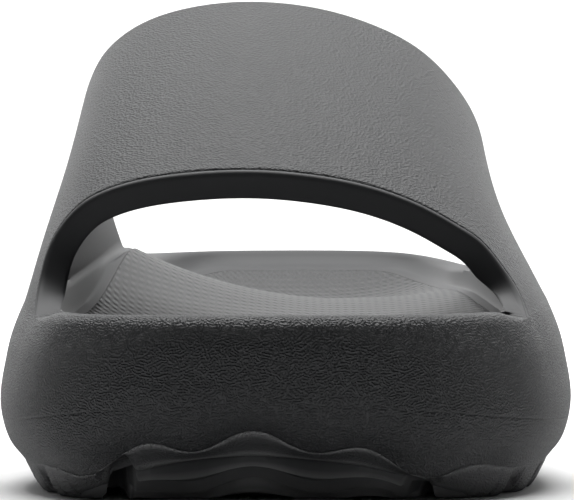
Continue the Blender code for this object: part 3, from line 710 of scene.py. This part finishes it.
rim_out = np.array([body.points[i] for i in out_ring])
rim_in = top.ring(rim_inset + RIM_WIDTH, rim - RIM_ROUND / 2.0)
in_ring = body.row(rim_in)

# Strap of the moulded body: a broad hollow arch, from a low front edge to a high rear edge.
# It has a fine pebbled grain, and a smooth bead and groove along its front edge.
STRAP_THICKNESS = 0.0055
FRONT_CROWN = 0.0635
REAR_CROWN = float(cad_high[2])
CROWN_BULGE = 0.0015
FRONT_SWEEP = 0.010
REAR_SWEEP = 0.026
EDGE_FLARE = 0.006
FLARE_RISE = 0.30
LINING_LIFT = 0.6
STRAP_COLUMNS = 120
EDGE_RADIUS = 0.0009
GROOVE_DISTANCE = 0.0023
GROOVE_WIDTH = 0.00032
GROOVE_DEPTH = 0.0006
SWEEP_POWER = 2.5
RISE_LIMIT = 1.02
ROOT_RISE = 0.12
PEBBLE_FADE = 0.0008

Arch = namedtuple("Arch", "front_across front_rise rear_across rear_rise")
ARCH = [
    Arch(-0.880, 0.000, -0.733, 0.000),
    Arch(-0.863, 0.210, -0.772, 0.210),
    Arch(-0.833, 0.430, -0.779, 0.410),
    Arch(-0.785, 0.610, -0.762, 0.590),
    Arch(-0.710, 0.770, -0.712, 0.745),
    Arch(-0.603, 0.880, -0.636, 0.850),
    Arch(-0.431, 0.960, -0.480, 0.945),
    Arch(-0.162, 1.000, -0.207, 1.000),
    Arch(0.086, 0.967, 0.100, 0.980),
    Arch(0.293, 0.885, 0.345, 0.905),
    Arch(0.466, 0.756, 0.517, 0.805),
    Arch(0.586, 0.625, 0.647, 0.665),
    Arch(0.672, 0.510, 0.722, 0.520),
    Arch(0.745, 0.340, 0.759, 0.345),
    Arch(0.803, 0.170, 0.793, 0.175),
    Arch(0.836, 0.000, 0.816, 0.000),
]
arch_rows = np.arange(len(ARCH))
stations = np.linspace(0.0, len(ARCH) - 1.0, STRAP_COLUMNS + 1)
front_across = curve(arch_rows, [row.front_across for row in ARCH])(stations)
front_rise = curve(arch_rows, [row.front_rise for row in ARCH])(stations)
rear_across = curve(arch_rows, [row.rear_across for row in ARCH])(stations)
rear_rise = curve(arch_rows, [row.rear_rise for row in ARCH])(stations)

inner_base = rim_out[top.inner[zone]]
outer_base = rim_out[top.outer[zone]]
across_share = np.linspace(0.0, 1.0, STRAP_COLUMNS + 1)[None, :]
place = top_places[zone]
back = ((place - place[0]) / (place[-1] - place[0]))[:, None]
across = (front_across[None, :] * (1.0 - back) + rear_across[None, :] * back) * WIDTH / 2.0
rise = np.clip(front_rise[None, :] * (1.0 - back) + rear_rise[None, :] * back, 0.0, RISE_LIMIT)
crown = FRONT_CROWN + (REAR_CROWN - FRONT_CROWN) * back + CROWN_BULGE * 4.0 * back * (1.0 - back)
base_y = inner_base[:, None, 1] * (1.0 - across_share) + outer_base[:, None, 1] * across_share
base_z = inner_base[:, None, 2] * (1.0 - across_share) + outer_base[:, None, 2] * across_share
miss = (inner_base[:, None, 0] - across[:, :1]) * (1.0 - across_share)
miss = miss + (outer_base[:, None, 0] - across[:, -1:]) * across_share
low_rise = np.clip(rise, 0.0, 1.0)
sweep = 1.0 - (1.0 - low_rise) ** SWEEP_POWER
flare = 1.0 - np.clip(1.0 - low_rise / FLARE_RISE, 0.0, 1.0) ** 2
shift = (FRONT_SWEEP * sweep + EDGE_FLARE * flare) * (1.0 - back)
shift = shift - (REAR_SWEEP * sweep + EDGE_FLARE * flare) * back
strap = np.dstack([
    across + miss * (1.0 - low_rise) ** 2,
    base_y + shift,
    base_z + (crown - base_z) * rise,
])


def strap_square(grid):
    """Directions across the strap's wall, towards the foot, in the plane across the shoe."""
    square = np.cross(np.gradient(grid, axis=0), np.gradient(grid, axis=1))
    square[:, :, 1] = 0.0
    square = square / np.linalg.norm(square, axis=2, keepdims=True)
    return square if square[len(square) // 2, STRAP_COLUMNS // 2, 2] < 0.0 else -square


square = strap_square(strap)
from_front = place - place[0]
from_rear = place[-1] - place


def rounding(distance):
    """How far a rounded edge falls back from its face at a distance from the edge."""
    lack = np.clip(EDGE_RADIUS - distance, 0.0, EDGE_RADIUS)
    return EDGE_RADIUS - np.sqrt(np.clip(EDGE_RADIUS**2 - lack**2, 0.0, None))


fall = rounding(from_front) + rounding(from_rear)
groove = GROOVE_DEPTH * np.exp(-(((from_front - GROOVE_DISTANCE) / GROOVE_WIDTH) ** 2))
root_fade = np.clip(low_rise / ROOT_RISE, 0.0, 1.0)
lining = strap + square * (STRAP_THICKNESS - fall[:, None] * root_fade)[:, :, None]
lining_base = rim_in[top.inner[zone], 2][:, None] * (1.0 - across_share)
lining_base = lining_base + rim_in[top.outer[zone], 2][:, None] * across_share
lining_floor = lining_base + LINING_LIFT * (strap[:, :, 2] - base_z)
lining[:, :, 2] = np.maximum(lining[:, :, 2], lining_floor)
strap = strap + square * ((fall + groove)[:, None] * root_fade)[:, :, None]

past_groove = np.clip((from_front - GROOVE_DISTANCE) / PEBBLE_FADE, 0.0, 1.0)
strap_rows = []
lining_rows = []
for i in range(len(zone)):
    near = top.inner[zone[i]]
    far = top.outer[zone[i]]
    pebbles = body.row(strap[i, 1:-1], pebble=float(past_groove[i]))
    strap_rows.append([out_ring[near]] + pebbles + [out_ring[far]])
    lining_rows.append([in_ring[near]] + body.row(lining[i, 1:-1]) + [in_ring[far]])
for rows in (strap_rows, lining_rows):
    for one, two in zip(rows, rows[1:]):
        body.strip(one, two, False)

# Rim of the moulded body round toe and heel, carried on as the strap's front and rear faces.
# It is the rolled top of the side wall.
CREST_HEIGHT = 0.75 * RIM_ROUND
CREST_POWER = 2.6
LIP_GRAIN_REACH = 0.6
LIP_GRAIN_POWER = 0.3
RIM_GRAIN_POWER = 0.2

toe_stations = list(top.inner[first_row:0:-1]) + list(top.toe) + list(top.outer[1:first_row + 1])
heel_stations = list(top.outer[last_row:-1]) + list(top.heel[::-1])
heel_stations += list(top.inner[top.rows - 1:last_row - 1:-1])
for run, edge_row in ((toe_stations, 0), (heel_stations, -1)):
    run = np.array(run)
    steps_from_end = np.minimum(np.arange(len(run)), len(run) - 1 - np.arange(len(run)))
    fade = np.clip(steps_from_end / CREST_FADE_ROWS, 0.0, 1.0)
    fade = fade * fade * (3.0 - 2.0 * fade)
    grain = toe_share(top.y[run] * LIP_GRAIN_REACH) ** LIP_GRAIN_POWER
    previous_rim = [out_ring[i] for i in run]
    previous_face = strap_rows[edge_row]
    for step in range(1, RIM_STEPS + 1):
        t = step / RIM_STEPS
        if step == RIM_STEPS:
            rim_row = [in_ring[i] for i in run]
            face_row = lining_rows[edge_row]
        else:
            points = rim_out[run] * (1.0 - t) + rim_in[run] * t
            bump = 1.0 - abs(2.0 * t - 1.0) ** CREST_POWER
            points[:, 2] += CREST_HEIGHT * bump * fade
            rim_row = body.row(points, wrinkle=grain * (1.0 - t) ** RIM_GRAIN_POWER)
            outer_face = np.array([body.points[i] for i in strap_rows[edge_row][1:-1]])
            inner_face = np.array([body.points[i] for i in lining_rows[edge_row][1:-1]])
            ends = (rim_row[0], rim_row[-1]) if edge_row == 0 else (rim_row[-1], rim_row[0])
            face_row = [ends[0]] + body.row(outer_face * (1.0 - t) + inner_face * t) + [ends[1]]
        body.strip(previous_rim, rim_row, False)
        body.strip(previous_face, face_row, False)
        previous_rim = rim_row
        previous_face = face_row

# Inside of the moulded body: the rim falls to a smooth band round a pocket for the footbed.
# The footbed's form is a shallow dish with a raised arch on the inner side and a cup at the heel.
FOOTBED_INSET = 0.0118
FOOTBED_HEIGHT = 0.035
DISH_HEIGHT = 0.0055
DISH_POWER = 3.0
ARCH_HEIGHT = 0.0104
ARCH_DISTANCE = 0.165
ARCH_REACH = 0.036
ARCH_MIDDLE = 0.20
ARCH_POWER = 1.6
POCKET_INSET = 0.0138
POCKET_DEPTH = 0.003
HEEL_SLOPE = 0.005
HEEL_SLOPE_LENGTH = 0.090
PIECE_GAP = 0.0003
DISH_LIMIT = 1.15
ARCH_LIMIT = 1.2
NARROWEST_HALF = WIDTH / 5.0
INNER_STEPS = 8
BAND_STEPS = 3

Footbed = namedtuple("Footbed", "along height dish")
FOOTBED = [
    Footbed(0.00, 1.000, 0.00),
    Footbed(0.10, 0.975, 0.10),
    Footbed(0.25, 0.915, 0.35),
    Footbed(0.40, 0.900, 0.50),
    Footbed(0.57, 1.020, 0.35),
    Footbed(0.70, 0.995, 0.60),
    Footbed(0.81, 0.957, 1.00),
    Footbed(0.90, 1.070, 0.75),
    Footbed(0.95, 1.205, 0.35),
    Footbed(1.00, 1.300, 0.10),
]
footbed_height = column(FOOTBED, "height")
footbed_dish = column(FOOTBED, "dish")


def footbed_surface(x, y):
    """Height of the footbed at a plan point."""
    low = outline(side_angle(y, False))[0]
    high = outline(side_angle(y, True))[0]
    half = np.maximum((high - low) / 2.0 - FOOTBED_INSET, NARROWEST_HALF)
    across = np.clip((x - (high + low) / 2.0) / half, -DISH_LIMIT, DISH_LIMIT)
    bell = np.exp(-(((y - ARCH_DISTANCE) / ARCH_REACH) ** 2))
    arch = np.clip((ARCH_MIDDLE - across) / (ARCH_MIDDLE + 1.0), 0.0, ARCH_LIMIT) ** ARCH_POWER
    height = FOOTBED_HEIGHT * footbed_height(y / LENGTH)
    height = height + DISH_HEIGHT * footbed_dish(y / LENGTH) * np.abs(across) ** DISH_POWER
    return height + ARCH_HEIGHT * bell * arch


def heel_slope(y):
    """How far the inner wall's foot moves inwards near the heel, so that the cup slopes."""
    return HEEL_SLOPE * np.clip(1.0 - (LENGTH - y) / HEEL_SLOPE_LENGTH, 0.0, 1.0) ** 2


def pocket_inset(y):
    """Distance from the widest outline to the pocket's edge."""
    return POCKET_INSET + heel_slope(y)


def footbed_grid(ladder, ring, depth):
    """Points of the footbed's surface on every rung inside a ring, lowered by a depth."""
    shares = np.tile(np.linspace(0.0, 1.0, ladder.columns + 1), (ladder.rows + 1, 1))
    plan = ladder.plan(ring, shares, END_BLEND_LENGTH)
    return np.dstack([plan, footbed_surface(plan[:, :, 0], plan[:, :, 1]) - depth])


band_inset = FOOTBED_INSET + heel_slope(top.y)
band = top.ring(band_inset, 0.0)
band[:, 2] = np.minimum(footbed_surface(band[:, 0], band[:, 1]), rim_in[:, 2] - PIECE_GAP)
middle = (rim_in + 2.0 * band) / 3.0
middle[:, :2] = (rim_in[:, :2] + band[:, :2]) / 2.0
control = 2.0 * middle - (rim_in + band) / 2.0
inner_rings = [in_ring]
for step in range(1, INNER_STEPS + 1):
    t = step / INNER_STEPS
    points = rim_in * (1.0 - t) ** 2 + control * 2.0 * t * (1.0 - t) + band * t * t
    inner_rings.append(body.row(points))
for step in range(1, BAND_STEPS + 1):
    t = step / BAND_STEPS
    points = top.ring(band_inset * (1.0 - t) + pocket_inset(top.y) * t, 0.0)
    points[:, 2] = footbed_surface(points[:, 0], points[:, 1])
    points[:, 2] = np.minimum(points[:, 2], band[:, 2] * (1.0 - t) + points[:, 2] * t)
    inner_rings.append(body.row(points))
pocket = points.copy()
floor = pocket.copy()
floor[:, 2] -= POCKET_DEPTH
inner_rings.append(body.row(floor))
for one, two in zip(inner_rings, inner_rings[1:]):
    body.strip(one, two, True)
body.patch(top, inner_rings[-1], footbed_grid(top, pocket, POCKET_DEPTH))

# Foam of the moulded body: matte and nearly black, as moulded, with painted light low on the tread
# and a painted highlight along the toe's ledge edges.
# Its wall has a winding grain and the mould's parting line, and its strap a pebbled grain.
FOAM_COLOR = (0.025, 0.026, 0.028, 1.0)
FOAM_PALE = (0.031, 0.032, 0.034, 1.0)
FOAM_ROUGHNESS = 0.65
FOAM_GLOSS = 0.5
WRINKLE_PERIOD = 0.58
WRINKLE_RELIEF = 0.00020
PEBBLE_PERIOD = 0.60
PEBBLE_RELIEF = 0.00024
MILLIMETRES = 1000.0
MOTTLE_PERIOD = 14.0
MOTTLE_DETAIL = 3.0
WAVES_PER_CELL = 2.0
SHARP_DEGREES = 50.0
SEAM_HEIGHT = 13.8
SEAM_TOE_RISE = 5.2
SEAM_REACH = 25.0
SEAM_WIDTH = 0.22
SEAM_RELIEF = 0.00025
SEAM_TOE_FADE = -0.8
# Painted light: the foam low on the body is painted paler towards the floor, from 9 mm down to 3
# mm, in place of the light the floor throws up under the toe
TREAD_PAINTED_LIGHT_COLOR = (0.085, 0.086, 0.088, 1.0)
# Painted highlight: paler colour along the edges of the toe's ledge and steps, where light would
# catch them
PAINTED_HIGHLIGHT_COLOR = (0.260, 0.262, 0.265, 1.0)
TREAD_TOP_HEIGHT = 9.0
TREAD_LOW_HEIGHT = 3.0


class Nodes:
    """Short calls that add and join the nodes of one material."""

    def __init__(self, name):
        self.material = bpy.data.materials.new(name)
        self.material.use_nodes = True
        self.tree = self.material.node_tree
        self.shader = self.tree.nodes["Principled BSDF"]

    def add(self, kind, **settings):
        node = self.tree.nodes.new(kind)
        for key, value in settings.items():
            setattr(node, key, value)
        return node

    def join(self, source, target):
        self.tree.links.new(source, target)

    def math(self, operation, *values):
        """One sum of sockets or numbers."""
        node = self.add("ShaderNodeMath", operation=operation)
        for socket, value in zip(node.inputs, values):
            if isinstance(value, bpy.types.NodeSocket):
                self.join(value, socket)
            else:
                socket.default_value = value
        return node.outputs[0]

    def attribute(self, name):
        return self.add("ShaderNodeAttribute", attribute_name=name).outputs["Fac"]

    def place(self):
        """The object's own coordinates in millimetres."""
        coordinates = self.add("ShaderNodeTexCoord")
        mapping = self.add("ShaderNodeMapping")
        mapping.inputs["Scale"].default_value = (MILLIMETRES,) * 3
        self.join(coordinates.outputs["Object"], mapping.inputs["Vector"])
        return mapping.outputs["Vector"]

    def labyrinth(self, vector, period):
        """Winding ridges with one period and one height, from zero to one."""
        gabor = self.add("ShaderNodeTexGabor", gabor_type="3D")
        gabor.inputs["Frequency"].default_value = WAVES_PER_CELL
        gabor.inputs["Scale"].default_value = 1.0 / (WAVES_PER_CELL * period)
        gabor.inputs["Anisotropy"].default_value = 0.0
        self.join(vector, gabor.inputs["Vector"])
        turn = self.math("MULTIPLY", gabor.outputs["Phase"], 2.0 * math.pi)
        ridge = self.math("MULTIPLY_ADD", self.math("COSINE", turn), 0.5, 0.5)
        return self.math("MULTIPLY", ridge, ridge)

    def noise(self, vector, period, detail):
        noise = self.add("ShaderNodeTexNoise")
        noise.inputs["Scale"].default_value = 1.0 / period
        noise.inputs["Detail"].default_value = detail
        self.join(vector, noise.inputs["Vector"])
        return noise.outputs["Fac"]

    def cells(self, vector, period):
        """Rounded cells of one size, highest between their middles."""
        voronoi = self.add("ShaderNodeTexVoronoi")
        voronoi.inputs["Scale"].default_value = 1.0 / period
        self.join(vector, voronoi.inputs["Vector"])
        return voronoi.outputs["Distance"]

    def relief(self, height, distance, under=None):
        """A bump whose full height is a distance in metres."""
        bump = self.add("ShaderNodeBump")
        bump.inputs["Strength"].default_value = 1.0
        bump.inputs["Distance"].default_value = distance
        self.join(height, bump.inputs["Height"])
        if under is not None:
            self.join(under, bump.inputs["Normal"])
        return bump.outputs["Normal"]

    def blend_color(self, factor, one, two):
        mix = self.add("ShaderNodeMix", data_type="RGBA")
        self.join(factor, mix.inputs["Factor"])
        if isinstance(one, bpy.types.NodeSocket):
            self.join(one, mix.inputs[6])
        else:
            mix.inputs[6].default_value = one
        mix.inputs[7].default_value = two
        return mix.outputs[2]


def foam_paint(name, wrinkled):
    """The body's foam. Where it is wrinkled, it has the wall's grain and parting line too."""
    foam = Nodes(name)
    spot = foam.place()
    axes = foam.add("ShaderNodeSeparateXYZ")
    foam.join(spot, axes.inputs[0])
    pebble_cells = foam.cells(spot, PEBBLE_PERIOD)
    pebble_height = foam.math("MULTIPLY", pebble_cells, foam.attribute("pebble"))
    normal = foam.relief(pebble_height, PEBBLE_RELIEF)
    if wrinkled:
        wrinkle = foam.attribute("wrinkle")
        winding_height = foam.math("MULTIPLY", foam.labyrinth(spot, WRINKLE_PERIOD), wrinkle)
        normal = foam.relief(winding_height, WRINKLE_RELIEF, normal)
        toe_place = TOE_TIP * MILLIMETRES / SEAM_REACH
        from_toe = foam.math("MULTIPLY_ADD", axes.outputs[1], -1.0 / SEAM_REACH, toe_place)
        toe_rise = foam.math("EXPONENT", from_toe)
        seam_height = foam.math("MULTIPLY_ADD", toe_rise, SEAM_TOE_RISE, SEAM_HEIGHT)
        above_seam = foam.math("SUBTRACT", axes.outputs[2], seam_height)
        seam_off = foam.math("DIVIDE", above_seam, SEAM_WIDTH)
        seam_square = foam.math("MULTIPLY", seam_off, seam_off)
        seam_bell = foam.math("EXPONENT", foam.math("MULTIPLY", seam_square, -1.0))
        seam_fade = foam.math("MULTIPLY_ADD", toe_rise, SEAM_TOE_FADE, 1.0)
        seam_strength = foam.math("MULTIPLY", seam_fade, wrinkle)
        normal = foam.relief(foam.math("MULTIPLY", seam_bell, seam_strength), -SEAM_RELIEF, normal)
    foam.join(normal, foam.shader.inputs["Normal"])
    # Painted light: paler colour from 9 mm down to 3 mm above the floor, standing in for the
    # floor's light under the toe
    painted_light_range = foam.add("ShaderNodeMapRange")
    painted_light_range.inputs["From Min"].default_value = TREAD_TOP_HEIGHT
    painted_light_range.inputs["From Max"].default_value = TREAD_LOW_HEIGHT
    foam.join(axes.outputs[2], painted_light_range.inputs["Value"])
    skin = foam.blend_color(foam.noise(spot, MOTTLE_PERIOD, MOTTLE_DETAIL), FOAM_COLOR, FOAM_PALE)
    painted_floor_light = foam.blend_color(painted_light_range.outputs["Result"], skin, TREAD_PAINTED_LIGHT_COLOR)
    # Painted highlight: the foam is painted paler along the toe's ledge and step edges
    highlighted = foam.blend_color(foam.attribute("rubbed"), painted_floor_light, PAINTED_HIGHLIGHT_COLOR)
    foam.join(highlighted, foam.shader.inputs["Base Color"])
    foam.shader.inputs["Roughness"].default_value = FOAM_ROUGHNESS
    foam.shader.inputs["Specular IOR Level"].default_value = FOAM_GLOSS
    return foam.material


foam_paints = [foam_paint("wrinkled onyx foam", True), foam_paint("onyx foam", False)]
moulded_body = body.piece("moulded_foam_body", foam_paints, SHARP_DEGREES)
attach(moulded_body, "root")
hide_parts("moulded_body")

# Footbed: a softer foam sheet with rows of small dashes moulded in its top.
# It is pressed into the pocket, close to its walls and 0.3 mm above its floor.
FOOTBED_COLOR = (0.018, 0.019, 0.020, 1.0)
FOOTBED_PALE = (0.022, 0.023, 0.024, 1.0)
FOOTBED_ROUGHNESS = 0.6
FOOTBED_GLOSS = 0.42
FOOTBED_EDGE = 0.00005
SHEET_GAP = 0.00004
ROW_PITCH = 3.8
DASH_PERIOD = 1.68
DASH_SWING = -0.35
DASH_RELIEF = 0.00016
DASH_TILT = 0.35
TONE_PERIOD = 20.0

sheet = Shell()
rim_line = top.ring(pocket_inset(top.y) + SHEET_GAP, 0.0)
rim_line[:, 2] = footbed_surface(rim_line[:, 0], rim_line[:, 1])
inner_line = top.ring(pocket_inset(top.y) + SHEET_GAP + FOOTBED_EDGE, 0.0)
inner_line[:, 2] = footbed_surface(inner_line[:, 0], inner_line[:, 1])
shoulder = rim_line.copy()
shoulder[:, 2] -= FOOTBED_EDGE
under = rim_line.copy()
under[:, 2] -= POCKET_DEPTH - PIECE_GAP
sheet_rings = [sheet.row(inner_line), sheet.row(shoulder), sheet.row(under)]
for one, two in zip(sheet_rings, sheet_rings[1:]):
    sheet.strip(one, two, True)
sheet.patch(top, sheet_rings[0], footbed_grid(top, inner_line, 0.0))
sheet.patch(top, sheet_rings[-1], footbed_grid(top, under, POCKET_DEPTH - PIECE_GAP))

soft = Nodes("footbed foam")
spot = soft.place()
axes = soft.add("ShaderNodeSeparateXYZ")
soft.join(spot, axes.inputs[0])
turn = soft.math("MULTIPLY", axes.outputs[0], 2.0 * math.pi / DASH_PERIOD)
second = soft.math("SINE", soft.math("MULTIPLY", turn, 2.0))
swing = soft.math("ADD", soft.math("SINE", turn), soft.math("MULTIPLY", second, DASH_TILT))
row_place = soft.math("ADD", axes.outputs[1], soft.math("MULTIPLY", swing, DASH_SWING))
row_turn = soft.math("MULTIPLY", row_place, 2.0 * math.pi / ROW_PITCH)
dash_share = soft.math("MULTIPLY_ADD", soft.math("COSINE", turn), -0.5, 0.5)
row_wave = soft.math("MULTIPLY", soft.math("SINE", row_turn), dash_share)
soft.join(soft.relief(row_wave, DASH_RELIEF), soft.shader.inputs["Normal"])
tone = soft.noise(spot, TONE_PERIOD, MOTTLE_DETAIL)
soft.join(soft.blend_color(tone, FOOTBED_COLOR, FOOTBED_PALE), soft.shader.inputs["Base Color"])
soft.shader.inputs["Roughness"].default_value = FOOTBED_ROUGHNESS
soft.shader.inputs["Specular IOR Level"].default_value = FOOTBED_GLOSS

footbed = sheet.piece("textured_footbed", [soft.material], SHARP_DEGREES)
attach(footbed, "root")
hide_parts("footbed")
